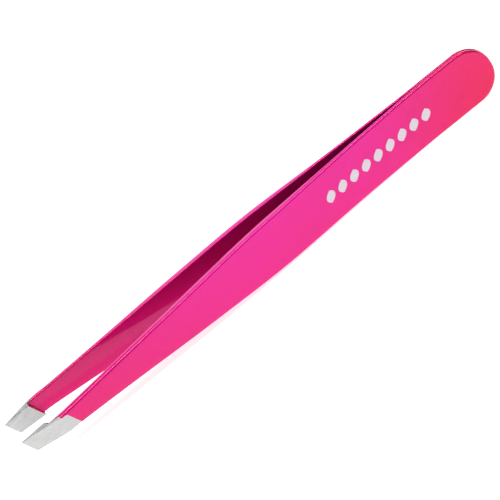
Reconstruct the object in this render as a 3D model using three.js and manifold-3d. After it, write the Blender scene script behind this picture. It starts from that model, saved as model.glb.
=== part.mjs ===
// Slant tweezers: two enamelled spring-steel arms, spot-welded together at the heel.
// Millimetres. +X runs from the tips to the heel, +Y from the front arm to the back arm, +Z up
// across the width of the arms. The tweezers stand on their narrow lower edges at z = 0, and the
// origin is under the middle of their bounding box.
import * as THREE from 'three';
import { mergeVertices } from 'three/addons/utils/BufferGeometryUtils.js';
import Module from 'manifold-3d';

const wasm = await Module();
wasm.setup();

// Lengths, all measured from the tip point.
const LENGTH = 95; // overall
const WELD_END = 81; // the arms part here and run apart towards the tips
const PIVOT = 69.5; // middle of the stretch that flexes when the arms are squeezed
const SOFT_CORNER = 47.6; // the outline starts to taper to the tips here

// Lengths at the tip, measured from the slanted tip cut; the upper corner of the cut is the tip point.
const PAINT_END = 8.05; // end of the enamel
const BEVEL_START = 7.2; // the outer face is ground away from here to the tip
const LAND_END = 4.8; // heel-side end of the raised gripping land

// Widths across the arms (along Z).
const HEEL_WIDTH = 9.87;
const WIDEST_AT = 85;
const CORNER_WIDTH = 9;
const TAPER_END_WIDTH = 3.62;
const TAPER_END = 8.7; // from the tip point; the bare tip narrows less towards the cut
const TIP_WIDTH = 3.05;
const HEEL_RADIUS = 4.6;
const CORNER_SOFTENING = 5; // the soft corner is rounded over this length on each side
const SLANT = 1.35; // how far the lower corner of the tip is set back from the upper one

// Thickness of an arm at distances from the tip: thin where it springs, thick where it is held.
// The tip is 1 mm thick before its outer face is ground.
const THICKNESS = [
  [LENGTH, 0.7],
  [WELD_END, 0.7],
  [PIVOT, 0.74],
  [62, 0.86],
  [50, 1.2],
  [35, 1.2],
  [20, 1.05],
  [9.4, 1],
  [0, 1],
];

// Distances from the middle plane (along Y).
const SEAM = 0.03; // half of the seam between the two welded leaves
const SPLAY = 2.98; // degrees between each arm and the middle plane
const BEVEL_KNEE = [4.9, 4.46]; // the bevel steepens from here to the tip
const TIP_OUTSIDE = 3.36;
const TIP_INSIDE = 3.24;
const LAND_TOE = 0.16; // how much nearer the middle plane the land is at its heel-side end
const LAND_ROOT = 0.3; // how deep the land is rooted in the strip

// Gaps between pieces.
const PIVOT_GAP = 0.3; // between a heel leaf and the grip that swings beside it
const PAINT_GAP = 0.1; // between a grip and its bare tip
const WELD_CLEARANCE = 0.05;

// Spot welds: lens-shaped nuggets across the seam, half in each leaf.
const WELD_RADIUS = 1.4;
const WELD_HALF_THICKNESS = 0.36;
const WELDS_AT = [84.5, 90];
const WELD_SEGMENTS = 24;

const REACH = 30; // longer than any piece is wide, for prisms that only cut
const CURVE_STEPS = 10;

const enamel = new THREE.MeshStandardMaterial({ color: 0xee2f86, roughness: 0.28, metalness: 0.35 });
const steel = new THREE.MeshStandardMaterial({ color: 0xb9b9bb, roughness: 0.38, metalness: 1 });
const weldSteel = new THREE.MeshStandardMaterial({ color: 0x8d8a88, roughness: 0.6, metalness: 1 });

// A closed geometry as a solid that can be joined and cut.
function solid(geometry) {
  geometry.deleteAttribute('normal');
  geometry.deleteAttribute('uv');
  const merged = mergeVertices(geometry, 1e-4);
  return new wasm.Manifold(new wasm.Mesh({
    numProp: 3,
    vertProperties: new Float32Array(merged.attributes.position.array),
    triVerts: new Uint32Array(merged.index.array),
  }));
}

function toGeometry(cutSolid) {
  const mesh = cutSolid.getMesh();
  const geometry = new THREE.BufferGeometry();
  geometry.setAttribute('position', new THREE.BufferAttribute(mesh.vertProperties, 3));
  geometry.setIndex(new THREE.BufferAttribute(mesh.triVerts, 1));
  geometry.computeVertexNormals();
  return geometry;
}

// Distance from the middle plane to an arm's flat inner face.
function innerFace(fromTip) {
  return SEAM + Math.tan(THREE.MathUtils.degToRad(SPLAY)) * Math.max(0, WELD_END - fromTip);
}

// A prism with its outline in the XZ plane, running along Y through both arms.
function prismAlongY(shape) {
  const geometry = new THREE.ExtrudeGeometry(shape, {
    depth: REACH,
    bevelEnabled: false,
    curveSegments: CURVE_STEPS,
  });
  geometry.rotateX(Math.PI / 2);
  geometry.translate(-LENGTH / 2, REACH / 2, HEEL_WIDTH / 2);
  return solid(geometry);
}

// A prism with its outline in the XY plane, running along Z. Points give the distance from the
// tip and from the middle plane; side is -1 for the front arm and +1 for the back arm. A slanted
// prism leans like the tip cut, so that its distances count from that cut.
function prismAlongZ(points, side, slanted) {
  const shape = new THREE.Shape(points.map(([fromTip, out]) => new THREE.Vector2(fromTip, side * out)));
  const geometry = new THREE.ExtrudeGeometry(shape, { depth: REACH, bevelEnabled: false });
  geometry.translate(-LENGTH / 2, 0, -REACH / 2);
  if (slanted) {
    const lean = new THREE.Matrix4().makeShear(0, 0, 0, 0, -SLANT / TIP_WIDTH, 0);
    geometry.applyMatrix4(lean);
    geometry.translate(SLANT / 2, 0, 0);
  }
  geometry.translate(0, 0, HEEL_WIDTH / 2);
  return solid(geometry);
}

// Everything between two distances from the tip, or from the slanted tip cut.
function stretch(from, to, slanted) {
  return prismAlongZ([[from, -REACH], [to, -REACH], [to, REACH], [from, REACH]], 1, slanted);
}

// The outline of an arm seen from its broad side: slanted tip, taper, soft corner, round heel.
function armOutline() {
  const taper = (CORNER_WIDTH - TAPER_END_WIDTH) / 2 / (SOFT_CORNER - TAPER_END);
  const flare = (HEEL_WIDTH - CORNER_WIDTH) / 2 / (WIDEST_AT - SOFT_CORNER);
  const cornerStart = CORNER_WIDTH / 2 - taper * CORNER_SOFTENING;
  const cornerEnd = CORNER_WIDTH / 2 + flare * CORNER_SOFTENING;
  const heelCentre = LENGTH - HEEL_RADIUS;
  const heelOffset = HEEL_WIDTH / 2 - HEEL_RADIUS;
  const shape = new THREE.Shape();
  shape.moveTo(SLANT, -TIP_WIDTH / 2);
  shape.lineTo(TAPER_END, -TAPER_END_WIDTH / 2);
  shape.lineTo(SOFT_CORNER - CORNER_SOFTENING, -cornerStart);
  shape.quadraticCurveTo(SOFT_CORNER, -CORNER_WIDTH / 2, SOFT_CORNER + CORNER_SOFTENING, -cornerEnd);
  shape.lineTo(WIDEST_AT, -HEEL_WIDTH / 2);
  shape.lineTo(heelCentre, -HEEL_WIDTH / 2);
  shape.absarc(heelCentre, -heelOffset, HEEL_RADIUS, -Math.PI / 2, 0, false);
  shape.absarc(heelCentre, heelOffset, HEEL_RADIUS, 0, Math.PI / 2, false);
  shape.lineTo(WIDEST_AT, HEEL_WIDTH / 2);
  shape.lineTo(SOFT_CORNER + CORNER_SOFTENING, cornerEnd);
  shape.quadraticCurveTo(SOFT_CORNER, CORNER_WIDTH / 2, SOFT_CORNER - CORNER_SOFTENING, cornerStart);
  shape.lineTo(TAPER_END, TAPER_END_WIDTH / 2);
  shape.lineTo(0, TIP_WIDTH / 2);
  return shape;
}

// One whole arm, from the round heel to the slanted tip: a bent strip with the gripping land
// raised on its inner face and its outer face ground down to a thin edge.
function arm(side) {
  const outside = THICKNESS.map(([fromTip, thick]) => [fromTip, innerFace(fromTip) + thick]);
  const strip = prismAlongZ([
    ...outside,
    [0, innerFace(0)],
    [WELD_END, innerFace(WELD_END)],
    [LENGTH, SEAM],
  ], side, false);
  const landRoot = innerFace(0) + LAND_ROOT;
  const land = prismAlongZ([
    [0, TIP_INSIDE],
    [LAND_END, TIP_INSIDE - LAND_TOE],
    [LAND_END, landRoot],
    [0, landRoot],
  ], side, true);
  const bevel = prismAlongZ([
    [-REACH, TIP_OUTSIDE],
    [0, TIP_OUTSIDE],
    BEVEL_KNEE,
    [BEVEL_START, innerFace(BEVEL_START) + THICKNESS.at(-1)[1]],
    [BEVEL_START, REACH],
    [-REACH, REACH],
  ], side, true);
  return strip.add(land).subtract(bevel).intersect(prismAlongY(armOutline()));
}

// A lens-shaped weld nugget on the seam, or the pocket for it when grown by its clearance.
function weldLens(fromTip, grow) {
  const profile = [];
  for (let step = 0; step <= CURVE_STEPS; step += 1) {
    const angle = -Math.PI / 2 + (Math.PI * step) / CURVE_STEPS;
    const radius = Math.max(0, Math.cos(angle)) * (WELD_RADIUS + grow);
    const isPole = step === 0 || step === CURVE_STEPS;
    profile.push(new THREE.Vector2(isPole ? 0 : radius, Math.sin(angle) * (WELD_HALF_THICKNESS + grow)));
  }
  const geometry = new THREE.LatheGeometry(profile, WELD_SEGMENTS);
  geometry.translate(fromTip - LENGTH / 2, 0, HEEL_WIDTH / 2);
  return geometry;
}

const tweezers = new THREE.Group();

function addPiece(name, geometry, material) {
  const piece = new THREE.Mesh(geometry, material);
  piece.name = name;
  tweezers.add(piece);
}

for (const [name, side] of [['front', -1], ['back', 1]]) {
  const whole = arm(side);
  const heelZone = stretch(PIVOT + PIVOT_GAP / 2, LENGTH + REACH, false);
  const beforePivot = stretch(-REACH, PIVOT - PIVOT_GAP / 2, false);
  const enamelled = stretch(PAINT_END + PAINT_GAP / 2, LENGTH + REACH, true);
  const bare = stretch(-REACH, PAINT_END - PAINT_GAP / 2, true);
  const pockets = WELDS_AT.map((at) => solid(weldLens(at, WELD_CLEARANCE)));
  const leaf = pockets.reduce((left, pocket) => left.subtract(pocket), whole.intersect(heelZone));
  addPiece(`${name}_heel_leaf`, toGeometry(leaf), enamel);
  addPiece(`${name}_grip`, toGeometry(whole.intersect(enamelled).intersect(beforePivot)), enamel);
  addPiece(`${name}_tip`, toGeometry(whole.intersect(bare)), steel);
}

WELDS_AT.forEach((at, index) => addPiece(`heel_weld_${index + 1}`, weldLens(at, 0), weldSteel));

export default tweezers;
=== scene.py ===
"""Slant tweezers: the enamelled arms, their bare ground tips, the printed motif and the studio.

Lengths are millimetres until a point is put in place. "along" is the distance from the tip point
towards the heel, "across" the height above the middle of the arm's width, and "out" the distance
from the middle plane between the two arms. "cut" is the distance from the slanted tip cut.
"""

import math

import bmesh
import bpy
import numpy as np
from mathutils import Matrix, Vector


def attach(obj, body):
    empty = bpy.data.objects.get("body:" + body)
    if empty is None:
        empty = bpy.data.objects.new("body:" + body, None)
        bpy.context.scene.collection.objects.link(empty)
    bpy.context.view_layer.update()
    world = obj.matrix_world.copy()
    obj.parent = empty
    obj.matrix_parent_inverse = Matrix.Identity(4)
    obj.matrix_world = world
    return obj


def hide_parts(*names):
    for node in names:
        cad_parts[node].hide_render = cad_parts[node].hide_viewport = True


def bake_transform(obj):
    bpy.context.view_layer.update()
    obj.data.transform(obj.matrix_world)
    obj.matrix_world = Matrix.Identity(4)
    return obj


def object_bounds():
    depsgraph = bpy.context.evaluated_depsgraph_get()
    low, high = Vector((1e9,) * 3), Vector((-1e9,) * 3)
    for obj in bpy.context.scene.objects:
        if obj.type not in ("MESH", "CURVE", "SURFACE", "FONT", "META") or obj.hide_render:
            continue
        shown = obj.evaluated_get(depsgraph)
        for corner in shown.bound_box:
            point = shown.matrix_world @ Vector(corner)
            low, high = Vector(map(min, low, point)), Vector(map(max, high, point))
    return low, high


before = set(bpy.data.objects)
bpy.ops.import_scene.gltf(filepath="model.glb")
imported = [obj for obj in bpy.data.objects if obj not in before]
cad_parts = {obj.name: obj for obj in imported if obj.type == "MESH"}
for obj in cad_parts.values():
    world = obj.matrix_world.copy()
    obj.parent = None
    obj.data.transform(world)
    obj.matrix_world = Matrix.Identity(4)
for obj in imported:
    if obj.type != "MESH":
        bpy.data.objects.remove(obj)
cad_low, cad_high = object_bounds()

MM = 0.001
LENGTH = (cad_high.x - cad_low.x) / MM
HEEL_WIDTH = (cad_high.z - cad_low.z) / MM
MIDDLE_Z = (cad_low.z + cad_high.z) / 2

# The arms, with the sizes of the CAD model.
WELD_END = 81.0
SPLAY = math.radians(2.98)
SEAM = 0.03
WIDEST_AT = 85.0
SOFT_CORNER = 47.6
CORNER_SOFTENING = 5.0
CORNER_WIDTH = 9.0
TAPER_END = 8.7
TAPER_END_WIDTH = 3.62
TIP_WIDTH = 3.05
SLANT = 1.35
HEEL_RADIUS = 4.6
HEEL_THICKNESS = 0.7
GRIP_THICKNESS = 1.2
NOSE_THICKNESS = 1.0
SPRING_END = 70.0  # from here towards the tip the strip thickens
THICKENING_RUN = 20.0
NOSE_START = 35.0  # from here towards the tip it thins again
THINNING_RUN = 26.0
TIP_INSIDE = 3.24
TIP_OUTSIDE = 3.36
LAND_END = 4.8
LAND_TOE = 0.16
BEVEL_KNEE = 4.9
BEVEL_KNEE_OUT = 4.46
BEVEL_END = 9.0  # the bevel has run out here
PAINT_END = 8.05

# Fine detail that the CAD solids leave out.
BEND_SOFTNESS = 3.0  # length over which the arms bend apart at the weld
CROWN = 0.04  # how much lower the edges of the outer face are than its middle
CROWN_RUN = 12.0  # length over which the crown grows from the tip cut
SHOULDER = 0.14  # how far the edges of the outer face are polished down behind the tip
SHOULDER_START = 6.5
SHOULDER_GROWTH = 3.0
SHOULDER_FADE_START = 21.0
SHOULDER_FADE = 12.0
BEVEL_LEVELLING = 0.02  # how fast the bevel levels off behind its knee
BEVEL_BLEND = 0.06  # how softly the bevel meets the outer face
COAT = 0.045  # thickness of the enamel
TUCK = 0.02  # how far the rim of the enamel dips under the steel surface
COAT_RIM = 0.1  # length over which the enamel rises to its full thickness
STEP_RUN = 0.22  # length of the sloping wall behind the gripping land
PAINT_CURL = 1.05  # how far the enamel's end runs on towards the tip at the upper corner
# How late the enamel's end runs on across the edges of the front (-1) and back (+1) arm.
PAINT_SWEEP = {-1: 7.0, 1: 1.0}
SINK_START = 5.0  # the steel starts to sink under the enamel here
SINK_RUN = 2.5
SLIM_START = 4.0  # and its narrow edges start to draw in here
SLIM_RUN = 3.0
TUMBLE_START = 5.5  # the sharp ground edges start to turn into the rounded ones here
TUMBLE_RUN = 2.0
HIDDEN_STEEL = 1.2  # how far the steel runs on under the enamel
CURL_FROM = 0.92  # share of the half width where the enamel's end starts to curl
CURL_RUN = 0.08
SHIFT_RUN = 8.0  # length over which the ribs forget the shape of the enamel's end
LEAN_END = 12.0  # the ribs lean like the tip cut up to here
LEAN_FADE = 18.0  # and stand upright after this much more
OUTER_ROUNDING = 0.42
INNER_ROUNDING = 0.2
BARE_ROUNDING = 0.05
SHARP_ANGLE = math.radians(28)  # steel facets that meet more sharply show a crease


def smooth(value):
    """0 below 0, 1 above 1, and an S-curve between."""
    value = np.clip(value, 0.0, 1.0)
    return value * value * (3.0 - 2.0 * value)


def place(side, along, out, across):
    """Points in metres, from millimetres on the front (-1) or back (+1) arm."""
    return np.stack([cad_low.x + along * MM, side * out * MM, MIDDLE_Z + across * MM], axis=-1)


# ---------------------------------------------------------------- the arm's surfaces

def half_width(along):
    """Half the width of an arm between its tip and its round heel."""
    nose = np.interp(along, [0.0, TAPER_END], [TIP_WIDTH / 2, TAPER_END_WIDTH / 2])
    taper = (CORNER_WIDTH - TAPER_END_WIDTH) / 2 / (SOFT_CORNER - TAPER_END)
    flare = (HEEL_WIDTH - CORNER_WIDTH) / 2 / (WIDEST_AT - SOFT_CORNER)
    run = along - SOFT_CORNER
    rounding = np.clip(CORNER_SOFTENING - abs(run), 0.0, None) ** 2 / (4 * CORNER_SOFTENING)
    body = CORNER_WIDTH / 2 + np.where(run < 0, taper * run, flare * run) - (taper - flare) * rounding
    return np.where(along < TAPER_END, nose, np.minimum(body, HEEL_WIDTH / 2))


def inner_face(along):
    """Distance of the flat inner face from the middle plane."""
    run = WELD_END - along
    return SEAM + math.tan(SPLAY) * (run + np.sqrt(run ** 2 + BEND_SOFTNESS ** 2)) / 2


def thickness(along):
    """Thickness of the strip: thin at the heel, thick at the grip, a little thinner at the nose."""
    spring = smooth((SPRING_END - along) / THICKENING_RUN)
    nose = smooth((NOSE_START - along) / THINNING_RUN)
    return (HEEL_THICKNESS + (GRIP_THICKNESS - HEEL_THICKNESS) * spring
            - (GRIP_THICKNESS - NOSE_THICKNESS) * nose)


def from_cut(along, across):
    """Distance from the slanted tip cut."""
    return along - SLANT / 2 + across * SLANT / TIP_WIDTH


def outer_face(along, across):
    """Distance of the outer face from the middle plane: crowned, and ground down at the tip."""
    cut = from_cut(along, across)
    strip = inner_face(along) + thickness(along)
    steep = (BEVEL_KNEE_OUT - TIP_OUTSIDE) / BEVEL_KNEE
    levelling = BEVEL_LEVELLING * np.clip(cut - BEVEL_KNEE, 0.0, None) ** 2
    bevel = TIP_OUTSIDE + steep * cut - levelling
    bevel = np.where(cut > BEVEL_END, strip + 1.0, bevel)
    face = (strip + bevel - np.sqrt((strip - bevel) ** 2 + BEVEL_BLEND ** 2)) / 2
    edge = across / half_width(along)
    growth = smooth((cut - SHOULDER_START) / SHOULDER_GROWTH)
    polished = growth * (1 - smooth((along - SHOULDER_FADE_START) / SHOULDER_FADE))
    return face - CROWN * smooth(cut / CROWN_RUN) * edge ** 2 - SHOULDER * polished * edge ** 6


def land_face(cut):
    """Distance of the gripping land from the middle plane."""
    return TIP_INSIDE - LAND_TOE * cut / LAND_END


def enamel_outer(along, across, behind):
    """The enamel's outer face, which tucks under the steel surface at its front rim."""
    return outer_face(along, across) - (COAT + TUCK) * (1 - smooth(behind / COAT_RIM))


def enamel_inner(along, across, behind):
    """The enamel's inner face, with the sloping wall behind the gripping land."""
    cut = from_cut(along, across)
    wall = smooth((cut - LAND_END - COAT) / STEP_RUN)
    face = land_face(cut) * (1 - wall) + inner_face(along) * wall
    return face + TUCK * (1 - smooth(behind / COAT_RIM))


def bare_outer(along, across, behind):
    """The steel's outer face, which sinks under the enamel."""
    sunk = smooth((from_cut(along, across) - SINK_START) / SINK_RUN)
    return outer_face(along, across) - COAT * sunk


def bare_inner(along, across, behind):
    """The steel's inner face: the gripping land, its wall and the strip behind it."""
    cut = from_cut(along, across)
    wall = smooth((cut - LAND_END) / STEP_RUN)
    return land_face(cut) * (1 - wall) + (inner_face(along) + COAT) * wall


# ---------------------------------------------------------------- meshes

# Columns across a plate, as shares of its half width; they crowd near the edges.
ACROSS = np.concatenate([[-1.0, -0.985], np.linspace(-0.95, 0.95, 19), [0.985, 1.0]])
OUTER_LEVELS = 7
INNER_LEVELS = 5
OUTER_SHARE = 0.3  # share of the way between the faces that the outer rounding takes
INNER_SHARE = 0.1  # and the inner rounding


def rounded_levels():
    """The rim of a plate from its outer face to its inner face: the face, the inset and the depth as
    shares of the rounding, and the share of the way between the faces."""
    levels = []
    last_outer = OUTER_LEVELS - 1
    last_inner = INNER_LEVELS - 1
    for step in range(OUTER_LEVELS):
        angle = math.radians(90) * step / last_outer
        share = OUTER_SHARE * step / last_outer
        levels.append(("outer", 1 - math.sin(angle), 1 - math.cos(angle), share))
    levels.append(("wall", 0.0, 0.35, 0.5))
    levels.append(("wall", 0.0, 0.7, 0.75))
    for step in range(INNER_LEVELS):
        angle = math.radians(90) * (1 - step / last_inner)
        share = 1 - INNER_SHARE + INNER_SHARE * step / last_inner
        levels.append(("inner", 1 - math.sin(angle), 1 - math.cos(angle), share))
    return levels


def build_plate(name, side, rib_points, outer, inner, outer_rounding, inner_rounding):
    """A closed plate. The roundings are given for each rib. rib_points(rib, v, inset, share) gives
    along, across and the distance behind the front end, and outer and inner give the faces there."""
    columns = len(ACROSS)
    last = len(outer_rounding) - 1
    levels = rounded_levels()

    def level_points(rib, v, level):
        face, inset, depth, share = level
        radius = inner_rounding[rib] if face == "inner" else outer_rounding[rib]
        along, across, behind = rib_points(rib, v, inset * radius, share)
        top = outer(along, across, behind)
        bottom = inner(along, across, behind)
        room = 0.8 * (top - bottom) / (outer_rounding[rib] + inner_rounding[rib])
        reach = np.minimum(1.0, room)
        if face == "outer":
            out = top - depth * radius * reach
        elif face == "inner":
            out = bottom + depth * radius * reach
        else:
            high = top - outer_rounding[rib] * reach
            low = bottom + inner_rounding[rib] * reach
            out = high + (low - high) * depth
        return place(side, along, out, across)

    rib_index, v_grid = np.meshgrid(np.arange(last + 1), ACROSS, indexing="ij")
    rim = [(rib, columns - 1) for rib in range(last + 1)]
    rim += [(last, column) for column in range(columns - 2, -1, -1)]
    rim += [(rib, 0) for rib in range(last - 1, -1, -1)]
    rim += [(0, column) for column in range(1, columns - 1)]
    rim_ribs = np.array([rib for rib, _ in rim])
    rim_v = ACROSS[[column for _, column in rim]]

    verts = []
    faces = []

    def add_grid(level):
        start = sum(len(block) for block in verts)
        verts.append(level_points(rib_index.ravel(), v_grid.ravel(), level))
        for rib in range(last):
            for column in range(columns - 1):
                corner = start + rib * columns + column
                faces.append((corner, corner + 1, corner + columns + 1, corner + columns))
        return [start + rib * columns + column for rib, column in rim]

    loops = [add_grid(levels[0])]
    for level in levels[1:-1]:
        start = sum(len(block) for block in verts)
        verts.append(level_points(rim_ribs, rim_v, level))
        loops.append(list(range(start, start + len(rim))))
    loops.append(add_grid(levels[-1]))
    for upper, lower in zip(loops, loops[1:]):
        for step in range(len(rim)):
            after = (step + 1) % len(rim)
            faces.append((upper[step], upper[after], lower[after], lower[step]))

    mesh = bpy.data.meshes.new(name)
    mesh.from_pydata(np.concatenate(verts).tolist(), [], faces)
    shape = bmesh.new()
    shape.from_mesh(mesh)
    bmesh.ops.recalc_face_normals(shape, faces=shape.faces)
    shape.to_mesh(mesh)
    shape.free()
    mesh.shade_smooth()
    piece = bpy.data.objects.new(name, mesh)
    bpy.context.scene.collection.objects.link(piece)
    return piece


def lean_at(along):
    """How much the ribs lean: like the tip cut near the tip, upright from the grip on."""
    return SLANT / TIP_WIDTH * (1 - smooth((along - LEAN_END) / LEAN_FADE))


def leaning(station, v, inset, shift):
    """Along and across for a point of a leaning rib whose middle is at the station."""
    along = station + shift
    across = v * (half_width(along) - inset)
    for _ in range(4):
        along = station + shift - lean_at(station) * across
        across = v * (half_width(along) - inset)
    return along, across


# Ribs along the enamel, counted from its end: fine over the rim, then evenly spaced.
FINE_STEPS = [
    0.0, 0.015, 0.03, 0.05, 0.07, 0.09, 0.12, 0.16, 0.2,
    0.25, 0.31, 0.4, 0.5, 0.65, 0.85, 1.1, 1.4, 1.8,
]
EVEN_FROM = 2.4
EVEN_RIBS = 110
HEEL_CENTRE = LENGTH - HEEL_RADIUS
HEEL_OFFSET = HEEL_WIDTH / 2 - HEEL_RADIUS
PAINT_MIDDLE = PAINT_END + SLANT / 2
EVEN_STEPS = np.linspace(EVEN_FROM, HEEL_CENTRE - PAINT_MIDDLE, EVEN_RIBS)
ARM_STEPS = np.concatenate([FINE_STEPS, EVEN_STEPS])
HEEL_ANGLES = np.radians(np.linspace(5, 90, 18))


def enamelled_arm(name, side):
    """One arm's enamelled length, from the end of the enamel to the round heel, as one piece."""
    ribs = np.concatenate([ARM_STEPS, HEEL_ANGLES])
    straight = len(ARM_STEPS)

    def rib_points(rib, v, inset, share):
        in_heel = rib >= straight
        steps = np.where(in_heel, 0.0, ribs[rib])
        angle = np.where(in_heel, ribs[rib], 0.0)
        front = PAINT_END - PAINT_CURL * smooth((v - CURL_FROM) / CURL_RUN)
        front = front + (LAND_END - front) * share ** PAINT_SWEEP[side]
        shift = (front - PAINT_END) * (1 - smooth(steps / SHIFT_RUN))
        along, across = leaning(PAINT_MIDDLE + steps, v, inset, shift)
        radius = HEEL_RADIUS - inset
        along = np.where(in_heel, HEEL_CENTRE + radius * np.sin(angle), along)
        across = np.where(in_heel, v * (HEEL_OFFSET + radius * np.cos(angle)), across)
        behind = np.where(in_heel, LENGTH, steps)
        sunk = 1 - (COAT + TUCK) / half_width(along) * (1 - smooth(behind / COAT_RIM))
        return along, across * sunk, behind

    outer_rounding = np.full(len(ribs), OUTER_ROUNDING)
    inner_rounding = np.full(len(ribs), INNER_ROUNDING)
    return build_plate(
        name, side, rib_points, enamel_outer, enamel_inner, outer_rounding, inner_rounding)


def bare_tip(name, side):
    """One arm's bare steel tip, which runs on a little way under the enamel."""
    land = np.linspace(0.0, LAND_END, 14)
    wall = LAND_END + STEP_RUN * np.linspace(0.1, 1.0, 9)
    rest = np.linspace(LAND_END + 0.4, PAINT_END + HIDDEN_STEEL, 14)
    ribs = np.concatenate([land, wall, rest])

    def rib_points(rib, v, inset, share):
        cut = np.maximum(ribs[rib], inset * 0.4)
        along, across = leaning(cut + SLANT / 2, v, inset, 0.0)
        slimmer = 1 - COAT / half_width(along) * smooth((cut - SLIM_START) / SLIM_RUN)
        return along, across * slimmer, cut

    tumbled = smooth((ribs - TUMBLE_START) / TUMBLE_RUN)
    outer_rounding = BARE_ROUNDING + (OUTER_ROUNDING - COAT - BARE_ROUNDING) * tumbled
    inner_rounding = BARE_ROUNDING + (INNER_ROUNDING - COAT - BARE_ROUNDING) * tumbled
    tip = build_plate(name, side, rib_points, bare_outer, bare_inner, outer_rounding, inner_rounding)
    tip.data.set_sharp_from_angle(angle=SHARP_ANGLE)
    return tip


# The printed motif: a row of slanted petals on the front arm, in place of any lettering.
PETALS = 9
PETAL_FIRST = 61.9
PETAL_LAST = 81.7
PETAL_HEIGHT = 2.1
PETAL_WIDTH = 1.75
PETAL_SLANT = 0.3
PETAL_POINTING = 0.8  # higher values narrow the petals more towards their ends
PETAL_SIDES = 14
INK = 0.012  # how far the ink stands above the enamel


def printed_motif(name):
    """The row of petals, as thin closed pads on the front arm's outer face."""
    shape = bmesh.new()
    for along_centre in np.linspace(PETAL_FIRST, PETAL_LAST, PETALS):
        turn = np.linspace(0.0, 2 * math.pi, 2 * PETAL_SIDES, endpoint=False)
        across = PETAL_HEIGHT / 2 * np.cos(turn)
        belly = PETAL_WIDTH / 2 * np.sin(turn) * abs(np.sin(turn)) ** PETAL_POINTING
        along = along_centre + belly + PETAL_SLANT * across
        top = outer_face(along, across) + INK
        rings = []
        for out in (top, top - 3 * INK):
            rings.append([shape.verts.new(point) for point in place(-1, along, out, across)])
        shape.faces.new(rings[0])
        shape.faces.new(list(reversed(rings[1])))
        for step in range(2 * PETAL_SIDES):
            after = (step + 1) % (2 * PETAL_SIDES)
            shape.faces.new((rings[0][after], rings[0][step], rings[1][step], rings[1][after]))
    bmesh.ops.recalc_face_normals(shape, faces=shape.faces)
    mesh = bpy.data.meshes.new(name)
    shape.to_mesh(mesh)
    shape.free()
    piece = bpy.data.objects.new(name, mesh)
    bpy.context.scene.collection.objects.link(piece)
    return piece


# ---------------------------------------------------------------- materials

def new_material(name):
    """A material with its nodes, its links and its shader."""
    material = bpy.data.materials.new(name)
    material.use_nodes = True
    nodes = material.node_tree.nodes
    return material, nodes, material.node_tree.links, nodes["Principled BSDF"]


def noise(nodes, links, coordinate, scale, detail, stretch=(1.0, 1.0, 1.0)):
    """A noise texture on a stretched coordinate; scale is in cells per metre."""
    mapping = nodes.new("ShaderNodeMapping")
    mapping.inputs["Scale"].default_value = stretch
    texture = nodes.new("ShaderNodeTexNoise")
    texture.inputs["Scale"].default_value = scale
    texture.inputs["Detail"].default_value = detail
    links.new(coordinate, mapping.inputs["Vector"])
    links.new(mapping.outputs["Vector"], texture.inputs["Vector"])
    return texture.outputs["Fac"]


def map_range(nodes, links, value, low, high, to_low, to_high):
    node = nodes.new("ShaderNodeMapRange")
    node.inputs["From Min"].default_value = low
    node.inputs["From Max"].default_value = high
    node.inputs["To Min"].default_value = to_low
    node.inputs["To Max"].default_value = to_high
    links.new(value, node.inputs["Value"])
    return node.outputs["Result"]


def bump(nodes, links, height, distance, strength, normal=None):
    node = nodes.new("ShaderNodeBump")
    node.inputs["Distance"].default_value = distance
    node.inputs["Strength"].default_value = strength
    links.new(height, node.inputs["Height"])
    if normal is not None:
        links.new(normal, node.inputs["Normal"])
    return node.outputs["Normal"]


# Painted reflection: the hue of the enamel is shifted from its lower to its upper edge, standing in for
# the different surroundings they reflect; 0.5 leaves it as mixed.
REFLECTION_HUE_LOW = 0.506
REFLECTION_HUE_HIGH = 0.495


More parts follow.
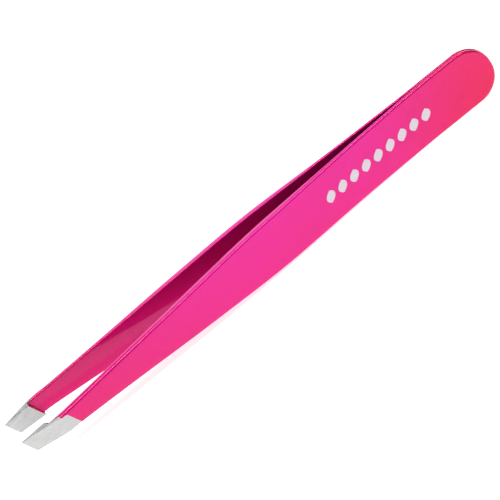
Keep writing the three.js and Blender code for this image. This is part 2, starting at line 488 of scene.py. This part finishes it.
def enamel_material():
    """Glossy pink metallic enamel: fine flake and faint orange peel, with painted reflection in its
    colour: bluer in the middle of the arm and redder towards the tip and the heel, and a hue shift from
    the lower to the upper edge.
    """
    material, nodes, links, shader = new_material("pink_enamel")
    coordinate = nodes.new("ShaderNodeTexCoord").outputs["Object"]
    split = nodes.new("ShaderNodeSeparateXYZ")
    links.new(coordinate, split.inputs["Vector"])
    position = map_range(nodes, links, split.outputs["X"], cad_low.x, cad_high.x, 0.0, 1.0)
    # Painted reflection: the colour along the arm, bluer in the middle and redder towards the tip and
    # the heel, stands in for how the enamel's reflections change along it.
    ramp = nodes.new("ShaderNodeValToRGB")
    ramp.color_ramp.interpolation = "EASE"
    stops = ramp.color_ramp.elements
    stops[0].position = 0.09
    stops[0].color = (0.51, 0.001, 0.118, 1)
    stops[1].position = 1.0
    stops[1].color = (0.51, 0.001, 0.074, 1)
    for stop_position, red, blue in ((0.5, 0.53, 0.180), (0.72, 0.52, 0.172)):
        stops.new(stop_position).color = (red, 0.001, blue, 1)
    links.new(position, ramp.inputs["Fac"])
    flake = noise(nodes, links, coordinate, 9000.0, 2.0)
    flake_value = map_range(nodes, links, flake, 0.3, 0.7, 0.94, 1.06)
    tint = nodes.new("ShaderNodeHueSaturation")
    links.new(ramp.outputs["Color"], tint.inputs["Color"])
    links.new(flake_value, tint.inputs["Value"])
    # Painted reflection: the hue shifts with the height across the arm.
    height = split.outputs["Z"]
    hue = map_range(nodes, links, height, cad_low.z, cad_high.z, REFLECTION_HUE_LOW, REFLECTION_HUE_HIGH)
    links.new(hue, tint.inputs["Hue"])
    links.new(tint.outputs["Color"], shader.inputs["Base Color"])
    cloud = noise(nodes, links, coordinate, 260.0, 3.0)
    links.new(map_range(nodes, links, cloud, 0.3, 0.7, 0.40, 0.48), shader.inputs["Roughness"])
    shader.inputs["Metallic"].default_value = 0.92
    shader.inputs["Coat Weight"].default_value = 0.78
    shader.inputs["Coat Roughness"].default_value = 0.06
    shader.inputs["Coat IOR"].default_value = 1.37
    peel = noise(nodes, links, coordinate, 1400.0, 1.0)
    normal = bump(nodes, links, peel, 0.00002, 0.04)
    links.new(normal, shader.inputs["Normal"])
    links.new(normal, shader.inputs["Coat Normal"])
    return material


# Painted shade: the narrow edges of the steel are darkened in colour by which way they face, standing
# in for the dimmer light they reflect.
EDGE_SHADE_TONE = 0.6  # how bright the narrow edges of the steel are beside its ground faces


def ground_steel_material():
    """Bare ground stainless steel, with fine grinding lines along the tip and painted shade on its
    narrow edges, which are darkened by which way they face.
    """
    material, nodes, links, shader = new_material("ground_steel")
    coordinate = nodes.new("ShaderNodeTexCoord").outputs["Object"]
    lines = noise(nodes, links, coordinate, 2600.0, 4.0, (0.12, 1.0, 2.2))
    broad = noise(nodes, links, coordinate, 900.0, 2.0)
    ramp = nodes.new("ShaderNodeValToRGB")
    stops = ramp.color_ramp.elements
    stops[0].position = 0.3
    stops[0].color = (0.35, 0.35, 0.35, 1)
    stops[1].position = 0.7
    stops[1].color = (0.44, 0.44, 0.435, 1)
    links.new(lines, ramp.inputs["Fac"])
    # Painted shade: faces that point up or down, the narrow edges, get a darker base colour.
    facing = nodes.new("ShaderNodeSeparateXYZ")
    links.new(nodes.new("ShaderNodeTexCoord").outputs["Normal"], facing.inputs["Vector"])
    edge = nodes.new("ShaderNodeMath")
    edge.operation = "ABSOLUTE"
    links.new(facing.outputs["Z"], edge.inputs[0])
    tone = nodes.new("ShaderNodeHueSaturation")
    links.new(ramp.outputs["Color"], tone.inputs["Color"])
    edge_shade_value = map_range(nodes, links, edge.outputs["Value"], 0.4, 0.9, 1.0, EDGE_SHADE_TONE)
    links.new(edge_shade_value, tone.inputs["Value"])
    links.new(tone.outputs["Color"], shader.inputs["Base Color"])
    shader.inputs["Metallic"].default_value = 1.0
    links.new(map_range(nodes, links, broad, 0.3, 0.7, 0.26, 0.42), shader.inputs["Roughness"])
    links.new(bump(nodes, links, lines, 0.00001, 0.2), shader.inputs["Normal"])
    return material


def ink_material():
    """Satin silver-white printing ink, a little uneven."""
    material, nodes, links, shader = new_material("silver_ink")
    coordinate = nodes.new("ShaderNodeTexCoord").outputs["Object"]
    grain = noise(nodes, links, coordinate, 5000.0, 3.0)
    ramp = nodes.new("ShaderNodeValToRGB")
    stops = ramp.color_ramp.elements
    stops[0].position = 0.3
    stops[0].color = (0.46, 0.41, 0.46, 1)
    stops[1].position = 0.7
    stops[1].color = (0.56, 0.51, 0.56, 1)
    links.new(grain, ramp.inputs["Fac"])
    links.new(ramp.outputs["Color"], shader.inputs["Base Color"])
    links.new(map_range(nodes, links, grain, 0.3, 0.7, 0.35, 0.5), shader.inputs["Roughness"])
    return material


def weld_material():
    """Fused steel, dull and uneven."""
    material, nodes, links, shader = new_material("weld_steel")
    coordinate = nodes.new("ShaderNodeTexCoord").outputs["Object"]
    grain = noise(nodes, links, coordinate, 3000.0, 4.0)
    ramp = nodes.new("ShaderNodeValToRGB")
    stops = ramp.color_ramp.elements
    stops[0].color = (0.20, 0.19, 0.18, 1)
    stops[1].color = (0.48, 0.46, 0.44, 1)
    links.new(grain, ramp.inputs["Fac"])
    links.new(ramp.outputs["Color"], shader.inputs["Base Color"])
    shader.inputs["Metallic"].default_value = 1.0
    links.new(map_range(nodes, links, grain, 0.3, 0.7, 0.5, 0.75), shader.inputs["Roughness"])
    links.new(bump(nodes, links, grain, 0.00004, 0.6), shader.inputs["Normal"])
    return material


FLOOR_GLOW = 0.69
FLOOR_SIZE = 3.0  # metres from the middle to an edge
WORLD_STRENGTH = 0.33


def floor_material():
    """A pale floor, faintly lit from within like a light table."""
    material, nodes, links, shader = new_material("pale_floor")
    coordinate = nodes.new("ShaderNodeTexCoord").outputs["Object"]
    grain = noise(nodes, links, coordinate, 40.0, 2.0)
    ramp = nodes.new("ShaderNodeValToRGB")
    stops = ramp.color_ramp.elements
    stops[0].color = (0.78, 0.78, 0.78, 1)
    stops[1].color = (0.82, 0.82, 0.82, 1)
    links.new(grain, ramp.inputs["Fac"])
    links.new(ramp.outputs["Color"], shader.inputs["Base Color"])
    shader.inputs["Roughness"].default_value = 0.9
    shader.inputs["Specular IOR Level"].default_value = 0.0
    shader.inputs["Emission Color"].default_value = (1, 1, 1, 1)
    shader.inputs["Emission Strength"].default_value = FLOOR_GLOW
    return material


# ---------------------------------------------------------------- camera, light, floor

TARGET_ALONG = 47.5  # the camera looks at this distance from the tip
CAMERA_AZIMUTH = math.radians(-7.1)
CAMERA_ELEVATION = math.radians(34.3)
CAMERA_ROLL = math.radians(34.9)
CAMERA_DISTANCE = 1.136
CAMERA_LENS = 524.6
AIM_RIGHT = -0.69  # millimetres to the side of the target, in the camera's own directions
AIM_UP = -0.095


def add_camera():
    """The scene's camera, turned about its own line of sight by the roll."""
    azimuth, elevation, roll = CAMERA_AZIMUTH, CAMERA_ELEVATION, CAMERA_ROLL
    right = Vector((math.cos(azimuth), math.sin(azimuth), 0))
    back = Vector((
        math.sin(azimuth) * math.cos(elevation),
        -math.cos(azimuth) * math.cos(elevation),
        math.sin(elevation),
    ))
    up = back.cross(right)
    rolled_right = right * math.cos(roll) - up * math.sin(roll)
    rolled_up = right * math.sin(roll) + up * math.cos(roll)
    target = Vector((cad_low.x + TARGET_ALONG * MM, 0, MIDDLE_Z))
    target += (rolled_right * AIM_RIGHT + rolled_up * AIM_UP) * MM
    turn = Matrix((rolled_right, rolled_up, back)).transposed().to_4x4()
    camera = bpy.data.objects.new("camera", bpy.data.cameras.new("camera"))
    camera.data.lens = CAMERA_LENS
    camera.matrix_world = Matrix.Translation(target + back * CAMERA_DISTANCE) @ turn
    bpy.context.scene.collection.objects.link(camera)
    bpy.context.scene.camera = camera


def add_softbox(name, direction, distance, width, height, power):
    """A rectangular soft light that faces the middle of the tweezers from a direction."""
    towards = Vector(direction).normalized()
    light = bpy.data.lights.new(name, "AREA")
    light.shape = "RECTANGLE"
    light.size = width
    light.size_y = height
    light.energy = power
    lamp = bpy.data.objects.new(name, light)
    lamp.location = Vector((0, 0, MIDDLE_Z)) + towards * distance
    lamp.rotation_euler = towards.to_track_quat("Z", "Y").to_euler()
    bpy.context.scene.collection.objects.link(lamp)


def add_floor():
    """A wide floor under the lowest edge of the tweezers."""
    shape = bmesh.new()
    bmesh.ops.create_grid(shape, x_segments=8, y_segments=8, size=FLOOR_SIZE)
    mesh = bpy.data.meshes.new("floor")
    shape.to_mesh(mesh)
    shape.free()
    floor = bpy.data.objects.new("floor", mesh)
    floor.location = (0, 0, cad_low.z)
    bpy.context.scene.collection.objects.link(floor)
    mesh.materials.append(floor_material())


def set_world():
    """A dim white surround."""
    world = bpy.data.worlds.new("studio")
    world.use_nodes = True
    background = world.node_tree.nodes["Background"]
    background.inputs["Color"].default_value = (1, 1, 1, 1)
    background.inputs["Strength"].default_value = WORLD_STRENGTH
    bpy.context.scene.world = world
    bpy.context.scene.view_settings.view_transform = "Standard"


add_camera()
set_world()
add_floor()
add_softbox("strip_softbox", (0, -0.35, 0.94), 0.5, 0.8, 0.12, 3.5)
add_softbox("softbox_behind", (0.15, 0.82, 0.5), 0.8, 0.9, 0.5, 2.8)
add_softbox("softbox_right", (0.6, 0.75, 0.22), 0.8, 0.5, 0.3, 0.9)

enamel = enamel_material()
steel = ground_steel_material()
ink = ink_material()
weld = weld_material()

for which, side in (("front", -1), ("back", 1)):
    body = which + "_arm"
    painted = enamelled_arm(which + "_arm_enamelled", side)
    painted.data.materials.append(enamel)
    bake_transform(painted)
    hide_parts(which + "_heel_leaf", which + "_grip")
    tip = bare_tip(which + "_tip_ground", side)
    tip.data.materials.append(steel)
    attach(tip, body)
    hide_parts(which + "_tip")

motif = printed_motif("front_printed_motif")
motif.data.materials.append(ink)
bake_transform(motif)

for index in (1, 2):
    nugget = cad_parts[f"heel_weld_{index}"]
    for material_slot in nugget.material_slots:
        material_slot.material = weld
